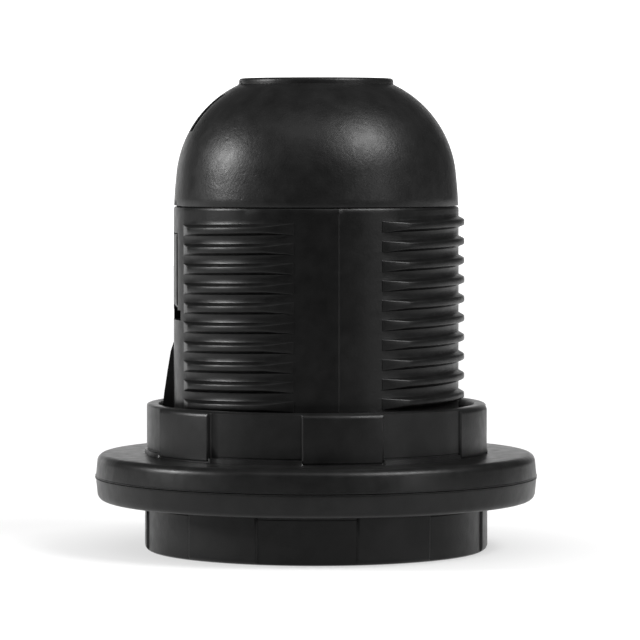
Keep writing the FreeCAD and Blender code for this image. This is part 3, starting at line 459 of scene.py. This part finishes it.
def shade_ring(name, rising, turned_by, material):
    """A shade ring with its collar rising from the mating level (1), or turned over (-1)."""
    pad_turns = [60 - PAD_FOOT_HALF, 60 - PAD_FACE_HALF, 60 - PAD_FACE_HALF + 0.25]
    pad_turns += [PAD_FOOT_HALF, PAD_EDGE_HALF, PAD_FACE_HALF, PAD_FACE_HALF - 0.25]
    pad_turns += [60 - PAD_EDGE_HALF]
    pad_turns += [-8.5, -4, 0, 4, 8.5, 17.5, 21.5, 25.8, 30, 34.2, 38.5, 42.5]
    pad_turns += [SEAM_TURN - SEAM_HALF, SEAM_TURN, SEAM_TURN + SEAM_HALF]
    own_columns = [30 + 60 * k + turn for k in range(6) for turn in pad_turns]
    columns = sorted({round((turned_by + rising * own) % 360, 4) for own in own_columns})
    mesh = bmesh.new()
    thread_from = MATING_LEVEL + rising * THREAD_LEAD
    thread_to = MATING_LEVEL + rising * (POCKET_FLOOR - THREAD_STOP)
    ends = sorted((thread_from, thread_to))
    threaded_wall(
        mesh,
        columns,
        THREAD_PITCH,
        THREAD_START,
        *ends,
        RING_BORE + RING_GROOVE,
        groove_points,
    )
    flange_side = FLANGE_RADIUS - FLANGE_DRAFT
    flash = FLANGE_RADIUS + FLASH_PROUD
    profile = [(RING_BORE + RING_GROOVE, 0.0), (FLANGE_RADIUS - 1, 0.0), (flash - 0.22, 0.0)]
    profile += [(flash, 0.06), (flash, 0.15), (FLANGE_RADIUS + 0.01, 0.21), (FLANGE_RADIUS, 0.5)]
    profile += [(flange_side, FLANGE_THICK - FLANGE_ROUND)]
    profile += arc(profile[-1], (flange_side - FLANGE_ROUND, FLANGE_THICK), FLANGE_ROUND, 7)
    profile += [(COLLAR_RADIUS + 1.4, FLANGE_THICK)]
    cove_from = len(profile)
    profile += [(COLLAR_RADIUS + out, FLANGE_THICK + up) for (out, up), _ in COVE]
    profile += [(COLLAR_RADIUS, 6.0), (COLLAR_RADIUS, RING_HEIGHT - RIM_ROUND)]
    profile += arc(profile[-1], (COLLAR_RADIUS - RIM_ROUND, RING_HEIGHT), RIM_ROUND, 6)
    profile += [(RIM_BORE + 0.22, RING_HEIGHT), (RIM_BORE + 0.06, RING_HEIGHT - 0.07)]
    profile += [(RIM_BORE, RING_HEIGHT - 0.24), (RIM_BORE, POCKET_FLOOR + 0.1)]
    profile += [(RIM_BORE - 0.1, POCKET_FLOOR)]
    loop = rim(mesh, thread_from)
    for i, (radius, level) in enumerate(profile):
        loop = drawn(mesh, loop, [(radius, MATING_LEVEL + rising * level)])
        for corner in {v for e in loop for v in e.verts}:
            azimuth = math.degrees(math.atan2(corner.co.y, corner.co.x))
            own = rising * (azimuth - turned_by)
            moved, height = radius, level
            if cove_from <= i < cove_from + len(COVE):
                on_pad, in_recess = COVE[i - cove_from]
                share = recessed(own)
                out, up = (a + (b - a) * share for a, b in zip(on_pad, in_recess))
                moved = COLLAR_RADIUS - collar_dip(own) + out
                height = FLANGE_THICK + up
            elif level > FLANGE_THICK + 1 and radius > COLLAR_RADIUS - RIM_ROUND - 1e-6:
                moved = min(radius, COLLAR_RADIUS - collar_dip(own))
            elif radius > FLANGE_RADIUS + 0.1:
                wave = math.sin(math.radians(own * 7 + 40))
                wave += math.sin(math.radians(own * 17 + 130)) * 0.6
                moved = radius - FLASH_DRAWN_IN + FLASH_WAVE * wave
            corner.co.xy *= moved / radius
            corner.co.z = MATING_LEVEL + rising * height
    drawn(mesh, loop, [(RING_BORE + RING_GROOVE, thread_to)])
    ring = finished(mesh, name, material, sharp=36)
    return ring


ring_black = moulded_plastic("ring_black", (0.007, 0.007, 0.007), 0.36, 6e-6, 0.21)
upper_ring = shade_ring("upper_ring_moulding", 1, 0, ring_black)
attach(upper_ring, "upper_ring")
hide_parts("upper_shade_ring")
lower_ring = shade_ring("lower_ring_moulding", -1, 18, ring_black)
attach(lower_ring, "lower_ring")
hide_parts("lower_shade_ring")

# ---------------------------------------------------------------- dome cap
# The dome is a second moulding, which snaps into the skirt's windows with two hooked legs. It
# has no thread, so it keeps the bare eroded grain of its mould. A slot on the left gives a
# driver its way to the lock screw.
CAP_FOOT_RADIUS = 18.6
CAP_WALL = 1.6
CAP_SHOULDER = (18.31, SEAM_LEVEL + 4.05)
CROWN_FOOT = (10.1, SEAM_LEVEL + 15.91)
CROWN_ROUND, CROWN_START = 14.3, math.radians(4.4)
BARREL_ROUND = 58.0
NECK_LEVEL = SEAM_LEVEL + 16.7
NECK_ROUND = 0.4
BOSS_RADIUS = 8.4
BOSS_LOW = 52.6
BOSS_BORE = 6.23
cap_black = moulded_plastic("cap_black", (0.008, 0.008, 0.008), 0.38, 12e-6)
cap_line = [(CAP_FOOT_RADIUS - CAP_WALL, SEAM_LEVEL), (CAP_FOOT_RADIUS - 0.42, SEAM_LEVEL)]
cap_line += [(CAP_FOOT_RADIUS - 0.40, SEAM_LEVEL + 0.12)]
cap_line += [(CAP_FOOT_RADIUS - 0.04, SEAM_LEVEL + 0.13), (CAP_FOOT_RADIUS, SEAM_LEVEL + 0.20)]
cap_line += arc(cap_line[-1], CAP_SHOULDER, BARREL_ROUND, 4)
cap_line += arc(CAP_SHOULDER, CROWN_FOOT, CROWN_ROUND, 22)
cap_line += [(CROWN_FOOT[0], CROWN_FOOT[1] + 0.2), (CROWN_FOOT[0], NECK_LEVEL - NECK_ROUND)]
cap_line += arc(cap_line[-1], (CROWN_FOOT[0] - NECK_ROUND, NECK_LEVEL), NECK_ROUND, 5)
cap_line += [(BOSS_BORE + 0.6, NECK_LEVEL), (BOSS_BORE, NECK_LEVEL - 0.6), (BOSS_BORE, BOSS_LOW)]
cap_line += [(BOSS_RADIUS, BOSS_LOW)]
crown_middle = CAP_SHOULDER[0] - CROWN_ROUND * math.cos(CROWN_START)
crown_level = CAP_SHOULDER[1] - CROWN_ROUND * math.sin(CROWN_START)
inner_round = CROWN_ROUND - CAP_WALL
boss_meets = crown_level + math.sqrt(inner_round**2 - (BOSS_RADIUS - crown_middle) ** 2)
cap_line += [(BOSS_RADIUS, boss_meets)]
inner_shoulder = (CAP_SHOULDER[0] - CAP_WALL, CAP_SHOULDER[1])
cap_line += arc(cap_line[-1], inner_shoulder, -inner_round, 12)
cap = bmesh.new()
corners = [cap.verts.new((radius, 0, level)) for radius, level in cap_line]
sides = [cap.edges.new(pair) for pair in zip(corners, corners[1:] + corners[:1])]
bmesh.ops.spin(
    cap,
    geom=corners + sides,
    cent=(0, 0, 0),
    axis=(0, 0, 1),
    dvec=(0, 0, 0),
    angle=math.tau,
    steps=144,
    use_merge=True,
    use_duplicate=False,
)
cap_piece = finished(cap, "dome_moulding", cap_black)
leg = [(15.35, 31.7), (16.6, 31.7), (16.6, 47.1), (17.8, 47.1), (17.4, 51.0), (15.35, 49.2)]
hook = [(16.2, 31.7), (18.2, 31.7), (18.66, 32.2), (18.66, 41.1), (18.5, 41.45), (16.2, 41.45)]
LEG_SPAN, HOOK_SPAN = 15.0, 9.6
for section, span in ((leg, LEG_SPAN), (hook, HOOK_SPAN)):
    legs = bmesh.new()
    for azimuth in (0, 180):
        segment(legs, section, azimuth, span)
    combined(cap_piece, legs, "UNION")
SLOT_LOW, SLOT_HIGH, SLOT_HALF = 54.7, 59.4, 1.5
way_in = bmesh.new()
slab(way_in, (-19, -SLOT_HALF, SLOT_LOW), (-BOSS_RADIUS - 0.1, SLOT_HALF, SLOT_HIGH))
combined(cap_piece, way_in, "DIFFERENCE")
LOCK_LEVEL, LOCK_RELIEF = 57.0, 1.8


def cross_hole(piece, start, radius, steps):
    """Drills from the left at the lock screw's level, as far as the holder's axis."""
    drill = bmesh.new()
    turns = [math.tau * i / steps for i in range(steps)]
    round_of = [
        (start, radius * math.cos(t), LOCK_LEVEL + radius * math.sin(t)) for t in turns
    ]
    prism(drill, round_of, (-start, 0, 0))
    combined(piece, drill, "DIFFERENCE")


cross_hole(cap_piece, -9, LOCK_RELIEF, 36)

# a moulded edge is never quite sharp: small rounds at the slot's outer lips
LIP_ROUND = 0.20
worked = bmesh.new()
worked.from_mesh(cap_piece.data)
lips = []
for edge in worked.edges:
    middle = (edge.verts[0].co + edge.verts[1].co) / 2 / MM
    outside = math.hypot(middle.xy.length - crown_middle, middle.z - crown_level)
    if (
        middle.x < -BOSS_RADIUS
        and abs(middle.y) < SLOT_HALF + 0.01
        and outside > CROWN_ROUND - 0.05
        and edge.calc_face_angle(0) > math.radians(35)
    ):
        lips.append(edge)
bmesh.ops.bevel(
    worked,
    geom=lips,
    offset=LIP_ROUND * MM,
    segments=3,
    profile=0.5,
    affect="EDGES",
    material=-1,
)
worked.to_mesh(cap_piece.data)
worked.free()
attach(cap_piece, "holder")
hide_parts("dome_cap")


# ---------------------------------------------------------------- entry bush
# The bush in the neck is turned from steel, threaded M10 x 1 and bright zinc plated. Its flange
# sits under the dome's boss, and a hole across it takes the lock screw.
def plated(name, colour, roughness, wear, tint=0.85):
    """Bright metal, rolled or turned to a fine grain, with faint tarnish and small scratches."""
    material = bpy.data.materials.new(name)
    material.use_nodes = True
    tree = material.node_tree
    shader = tree.nodes["Principled BSDF"]
    shader.inputs["Metallic"].default_value = 1.0
    tarnish = noise(tree, 260, 5, 0.35, 0.65, 0, 1)
    dull = [c * shade for c, shade in zip(colour, (tint, tint * 0.97, tint * 0.9))]
    tree.links.new(toned(tree, tarnish, dull, colour), shader.inputs["Base Color"])
    patchy = noise(tree, 640, 4, 0.3, 0.7, roughness - 0.03, roughness + 0.05)
    tree.links.new(patchy, shader.inputs["Roughness"])
    marks = grained(tree, noise(tree, 900, 3, 0.3, 0.7, 0, 1, (1, 1, 7)), wear)
    fine = grained(tree, noise(tree, 3600, 2, 0.3, 0.7, 0, 1), wear * 0.4, marks)
    tree.links.new(fine, shader.inputs["Normal"])
    return material


zinc_steel = plated("bright_zinc", (0.66, 0.67, 0.68), 0.28, 1.2e-6)
BUSH_LOW, BUSH_TOP = 51.4, 61.3
BUSH_THREAD = 5.0
BUSH_MINOR = 4.459
BUSH_CHAMFER = 0.55
BUSH_RADIUS, BUSH_FLANGE = 6.2, 7.4
LOCK_HOLE = 1.55


def bush_points(azimuth, turns):
    """One turn of the M10 x 1 thread in the bush."""
    corners = [(-0.5, BUSH_THREAD), (-0.44, BUSH_THREAD), (-0.12, BUSH_MINOR)]
    return corners + [(0.12, BUSH_MINOR), (0.44, BUSH_THREAD)]


bush = bmesh.new()
threaded_wall(
    bush,
    spread(0, 360, 64),
    1.0,
    52.0,
    BUSH_LOW + BUSH_CHAMFER,
    BUSH_TOP - BUSH_CHAMFER,
    BUSH_THREAD,
    bush_points,
)
drawn(
    bush,
    rim(bush, BUSH_LOW + BUSH_CHAMFER),
    [
        (BUSH_THREAD + 0.4, BUSH_LOW),
        (BUSH_FLANGE - 0.2, BUSH_LOW),
        (BUSH_FLANGE, BUSH_LOW + 0.2),
        (BUSH_FLANGE, BOSS_LOW - 0.06),
        (BUSH_FLANGE - 0.06, BOSS_LOW),
        (BUSH_RADIUS, BOSS_LOW),
        (BUSH_RADIUS, BUSH_TOP - 0.12),
        (BUSH_RADIUS - 0.12, BUSH_TOP),
        (BUSH_THREAD + 0.4, BUSH_TOP),
        (BUSH_THREAD, BUSH_TOP - BUSH_CHAMFER),
    ],
)
bush_piece = finished(bush, "entry_bush_turned", zinc_steel)
cross_hole(bush_piece, -8, LOCK_HOLE, 24)
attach(bush_piece, "holder")
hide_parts("entry_bush")


# ---------------------------------------------------------------- screws
# The two terminal screws are pan-head M3.5 with a straight slot. The lock screw is a slotted
# M3 grub screw that stops the pipe from turning. All three are steel with bright zinc plate.
def threaded_screw(name, pitch, radius, end, seat, head, place, upright=True):
    """A slotted screw: a cut thread from its point to its seat, then a head as (radius, level)."""
    root = radius - pitch * 0.6

    def cut_points(azimuth, turns):
        corners = [(-0.5, root), (-0.4, root), (-0.07, radius), (0.07, radius), (0.4, root)]
        return [(offset * pitch, reach) for offset, reach in corners]

    mesh = bmesh.new()
    point = end + pitch * 0.6
    threaded_wall(mesh, spread(0, 360, 28), pitch, end, point, seat, root, cut_points)
    low = drawn(mesh, rim(mesh, point), [(root - pitch * 0.6, end), (0.3, end)])
    bmesh.ops.edgeloop_fill(mesh, edges=low)
    top = drawn(mesh, rim(mesh, seat), head)
    bmesh.ops.edgeloop_fill(mesh, edges=top)
    if not upright:
        flat = Matrix.Rotation(math.radians(-90), 3, "Y")
        bmesh.ops.rotate(mesh, cent=(0, 0, 0), matrix=flat, verts=mesh.verts)
    bmesh.ops.translate(mesh, vec=place, verts=mesh.verts)
    return finished(mesh, name, zinc_steel)


DRIVER_CUT_HALF, DRIVER_CUT_DEPTH = 0.3, 0.9
SCREW_END, SCREW_SEAT, SCREW_TOP = 29.6, 32.8, 35.0
TERMINAL_PITCH, TERMINAL_RADIUS = 0.6, 1.75
PAN_RADIUS, PAN_ROUND = 3.0, 0.7
for pole, along in (("neutral", 7.4), ("live", -10.2)):
    pan = [(1.55, SCREW_SEAT), (PAN_RADIUS - 0.08, SCREW_SEAT), (PAN_RADIUS, SCREW_SEAT + 0.08)]
    pan += [(PAN_RADIUS, SCREW_TOP - PAN_ROUND)]
    pan += arc(pan[-1], (PAN_RADIUS - PAN_ROUND, SCREW_TOP), PAN_ROUND, 6)
    pan += [(0.5, SCREW_TOP)]
    screw = threaded_screw(
        f"{pole}_terminal_screw",
        TERMINAL_PITCH,
        TERMINAL_RADIUS,
        SCREW_END,
        SCREW_SEAT,
        pan,
        (0, along, 0),
    )
    driver_cut = bmesh.new()
    slab(
        driver_cut,
        (-4, along - DRIVER_CUT_HALF, SCREW_TOP - DRIVER_CUT_DEPTH),
        (4, along + DRIVER_CUT_HALF, SCREW_TOP + 1),
    )
    combined(screw, driver_cut, "DIFFERENCE")
    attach(screw, f"{pole}_screw")
    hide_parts(f"{pole}_screw")

LOCK_PITCH, LOCK_RADIUS, LOCK_LENGTH, LOCK_TIP = 0.5, 1.5, 4.35, -4.65
lock = threaded_screw(
    "lock_grub_screw",
    LOCK_PITCH,
    LOCK_RADIUS,
    0.0,
    LOCK_LENGTH - 0.2,
    [(1.2, LOCK_LENGTH - 0.2), (1.05, LOCK_LENGTH), (0.3, LOCK_LENGTH)],
    (LOCK_TIP, 0, LOCK_LEVEL),
    upright=False,
)
driver_cut = bmesh.new()
slab(
    driver_cut,
    (-10, -DRIVER_CUT_HALF, LOCK_LEVEL - 2),
    (-9 + DRIVER_CUT_DEPTH, DRIVER_CUT_HALF, LOCK_LEVEL + 2),
)
combined(lock, driver_cut, "DIFFERENCE")
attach(lock, "lock_screw")
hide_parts("lock_screw")


# ---------------------------------------------------------------- centre leaf
# The centre contact's spring is a hairpin of rolled bronze strip, riveted under the floor. On the
# real holder it bends as the lamp presses the contact button in; here it is the CAD leaf as it
# stands.
spring_bronze = plated("rolled_bronze", (0.68, 0.44, 0.26), 0.26, 1.5e-6)
leaf_mesh = bmesh.new()
leaf_mesh.from_mesh(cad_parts["centre_leaf"].data)
bmesh.ops.scale(leaf_mesh, vec=(1 / MM, 1 / MM, 1 / MM), verts=leaf_mesh.verts)
leaf_piece = finished(leaf_mesh, "bronze_leaf", spring_bronze)
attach(leaf_piece, "holder")
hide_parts("centre_leaf")
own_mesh(leaf_piece)


# ---------------------------------------------------------------- carrier, shell and brass
# The carrier is a black thermoset moulding, glossier and harder than the outside. The screw
# shell is rolled from zinc-plated steel sheet, and strips, rivets and button are stamped brass.
def dressed_in(node, material):
    """Gives a CAD node that stays a better finish."""
    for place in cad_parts[node].material_slots:
        place.material = material


dressed_in(
    "contact_carrier",
    moulded_plastic("carrier_thermoset", (0.012, 0.011, 0.011), 0.28, 3e-6, specular=0.5),
)
dressed_in("screw_shell", plated("rolled_zinc_sheet", (0.62, 0.62, 0.60), 0.24, 1.5e-6))
stamped_brass = plated("stamped_brass", (0.72, 0.56, 0.28), 0.25, 1.8e-6, tint=0.75)
for node in (
    "shell_rivet_left",
    "shell_rivet_right",
    "leaf_rivet",
    "neutral_strip",
    "live_strip",
    "contact_button",
):
    dressed_in(node, stamped_brass)
for node in ("neutral_washer", "live_washer"):
    dressed_in(node, zinc_steel)

# ---------------------------------------------------------------- floor, backdrop and light
# A pale sweep of card on a table: level under the holder and rising well behind it. Both cards
# show as white. The table card keeps the holder's cast shadow, and its glow is also painted
# dimmer close round the holder as a painted shadow.
CAMERA_TURN = 8.9
right_way = Vector(
    (math.cos(math.radians(CAMERA_TURN)), -math.sin(math.radians(CAMERA_TURN)), 0)
)
into_scene = Vector(
    (math.sin(math.radians(CAMERA_TURN)), math.cos(math.radians(CAMERA_TURN)), 0)
)


def reckoned(tree, operation, first, second):
    """The sum, product or greater of two values."""
    sum_of = tree.nodes.new("ShaderNodeMath")
    sum_of.operation = operation
    tree.links.new(first, sum_of.inputs[0])
    tree.links.new(second, sum_of.inputs[1])
    return sum_of.outputs[0]


def seen_or_mirrored(tree):
    """1 for rays of the camera and for those off metal or through glass, 0 for the rest."""
    path = tree.nodes.new("ShaderNodeLightPath")
    seen = path.outputs["Is Camera Ray"]
    for other in ("Is Glossy Ray", "Is Transmission Ray"):
        seen = reckoned(tree, "MAXIMUM", seen, path.outputs[other])
    return seen


# metres from the holder: the painted shadow in the card's glow, and where the sweep brightens again
PAINTED_SHADE_FROM, PAINTED_SHADE_TO = 0.018, 0.044
SWEEP_FROM, SWEEP_TO, SWEEP_GLOW = 0.15, 0.80, 0.3


def pale_card(name, shade, glow_in_painted_shade, far_glow):
    """Matt card that shows white in front and is clear from behind.

    Its glow is seen and mirrored, lights nothing else, and grows away from a painted shadow by the
    holder.
    """
    material = bpy.data.materials.new(name)
    material.use_nodes = True
    tree = material.node_tree
    nodes, links = tree.nodes, tree.links
    nodes.clear()
    matt = nodes.new("ShaderNodeBsdfDiffuse")
    matt.inputs["Color"].default_value = (shade, shade, shade, 1)
    glow = nodes.new("ShaderNodeEmission")
    glow.inputs["Color"].default_value = (1, 1, 1, 1)
    place = nodes.new("ShaderNodeTexCoord")
    away = nodes.new("ShaderNodeVectorMath")
    away.operation = "LENGTH"
    links.new(place.outputs["Object"], away.inputs[0])
    distance = away.outputs["Value"]
    # painted shadow: the glow is dimmer within a few centimetres of the holder, so the card darkens
    # there
    painted_shade_ramp = ranged(tree, distance, PAINTED_SHADE_FROM, PAINTED_SHADE_TO, glow_in_painted_shade, far_glow)
    further_off = ranged(tree, distance, SWEEP_FROM, SWEEP_TO, 0.0, SWEEP_GLOW)
    summed = reckoned(tree, "ADD", painted_shade_ramp, further_off)
    strength = reckoned(tree, "MULTIPLY", seen_or_mirrored(tree), summed)
    links.new(strength, glow.inputs["Strength"])
    both = nodes.new("ShaderNodeAddShader")
    links.new(matt.outputs[0], both.inputs[0])
    links.new(glow.outputs[0], both.inputs[1])
    side = nodes.new("ShaderNodeNewGeometry")
    clear = nodes.new("ShaderNodeBsdfTransparent")
    one_sided = nodes.new("ShaderNodeMixShader")
    links.new(side.outputs["Backfacing"], one_sided.inputs["Fac"])
    links.new(both.outputs[0], one_sided.inputs[1])
    links.new(clear.outputs[0], one_sided.inputs[2])
    out = nodes.new("ShaderNodeOutputMaterial")
    links.new(one_sided.outputs[0], out.inputs["Surface"])
    return material


def card_sheet(name, size, turn, place, material):
    """A flat sheet of card with its mesh laid in place."""
    mesh = bmesh.new()
    bmesh.ops.create_grid(mesh, x_segments=1, y_segments=1, size=1.0)
    bmesh.ops.scale(mesh, vec=(*size, 1), verts=mesh.verts)
    about = Matrix.Rotation(math.radians(turn), 3, "X")
    bmesh.ops.rotate(mesh, cent=(0, 0, 0), matrix=about, verts=mesh.verts)
    bmesh.ops.translate(mesh, vec=place, verts=mesh.verts)
    data = bpy.data.meshes.new(name)
    mesh.to_mesh(data)
    mesh.free()
    data.materials.append(material)
    sheet = bpy.data.objects.new(name, data)
    bpy.context.scene.collection.objects.link(sheet)


# the table's glow is painted down to 0.50 close to the holder, a painted shadow round its foot
table_white = pale_card("table_white", 0.3, 0.50, 0.76)
card_sheet("table_card", (0.6, 0.66), 0, (0, 0.545, -5e-5), table_white)
backdrop_white = pale_card("backdrop_white", 0.7, 1.0, 1.0)
card_sheet("back_card", (0.6, 0.14), 90, (0, 1.2, 0.14), backdrop_white)

world = bpy.data.worlds.new("studio")
bpy.context.scene.world = world
world.use_nodes = True
room_tree = world.node_tree
room = room_tree.nodes["Background"]
room.inputs["Color"].default_value = (1, 1, 1, 1)
# the room: white to the camera all round, and in mirrors only low down behind the holder
BEHIND_FROM, BEHIND_TO = 0.86, 0.97
LOW_FROM, LOW_TO = 0.42, 0.28
ROOM_DIM, ROOM_WHITE = 0.07, 1.0
direction = room_tree.nodes.new("ShaderNodeTexCoord").outputs["Object"]
lying_back = room_tree.nodes.new("ShaderNodeVectorMath")
lying_back.operation = "DOT_PRODUCT"
lying_back.inputs[1].default_value = into_scene
room_tree.links.new(direction, lying_back.inputs[0])
parts_of = room_tree.nodes.new("ShaderNodeSeparateXYZ")
room_tree.links.new(direction, parts_of.inputs[0])
behind = ranged(room_tree, lying_back.outputs["Value"], BEHIND_FROM, BEHIND_TO)
low_down = ranged(room_tree, parts_of.outputs["Z"], LOW_FROM, LOW_TO)
low_behind = reckoned(room_tree, "MULTIPLY", behind, low_down)
mirrored = reckoned(room_tree, "MULTIPLY", low_behind, seen_or_mirrored(room_tree))
to_camera = room_tree.nodes.new("ShaderNodeLightPath").outputs["Is Camera Ray"]
shown = reckoned(room_tree, "MAXIMUM", mirrored, to_camera)
strength = ranged(room_tree, shown, 0.0, 1.0, ROOM_DIM, ROOM_WHITE)
room_tree.links.new(strength, room.inputs["Strength"])


LIT_AT = Vector((0, 0, 0.035))


def softbox(name, azimuth, elevation, distance, size, watts):
    """A diffuser aimed at the middle of the holder, placed as seen from the camera."""
    lamp = bpy.data.lights.new(name, "AREA")
    lamp.shape = "RECTANGLE"
    lamp.size, lamp.size_y = size
    lamp.energy = watts
    turn_to, lift = math.radians(azimuth), math.radians(elevation)
    away = (right_way * math.sin(turn_to) - into_scene * math.cos(turn_to)) * math.cos(lift)
    away = away + Vector((0, 0, math.sin(lift)))
    stand = bpy.data.objects.new(name, lamp)
    stand.location = LIT_AT + away * distance
    stand.rotation_euler = away.to_track_quat("Z", "Y").to_euler()
    bpy.context.scene.collection.objects.link(stand)


softbox("left_softbox", -83, 21, 0.6, (0.14, 0.19), 4.0)
softbox("right_softbox", 53, 43, 0.7, (0.33, 0.29), 6.0)
softbox("right_low", 52, 7, 0.7, (0.16, 0.18), 0.45)
softbox("ceiling", -10, 58, 0.8, (0.60, 0.30), 0.95)

# a long lens, a little above the middle of the holder and turned a few degrees off its front
CAMERA_AWAY, CAMERA_LEVEL = 0.506, 0.0527
AIM_RIGHT, AIM_LEVEL = 0.0005, 0.0300
eye = bpy.data.cameras.new("camera")
eye.sensor_width = 36
eye.lens = 217.4
camera = bpy.data.objects.new("camera", eye)
camera.location = -into_scene * CAMERA_AWAY + Vector((0, 0, CAMERA_LEVEL))
target = right_way * AIM_RIGHT + Vector((0, 0, AIM_LEVEL))
camera.rotation_euler = (target - camera.location).to_track_quat("-Z", "Y").to_euler()
bpy.context.scene.collection.objects.link(camera)
bpy.context.scene.camera = camera
bpy.context.scene.view_settings.view_transform = "Standard"
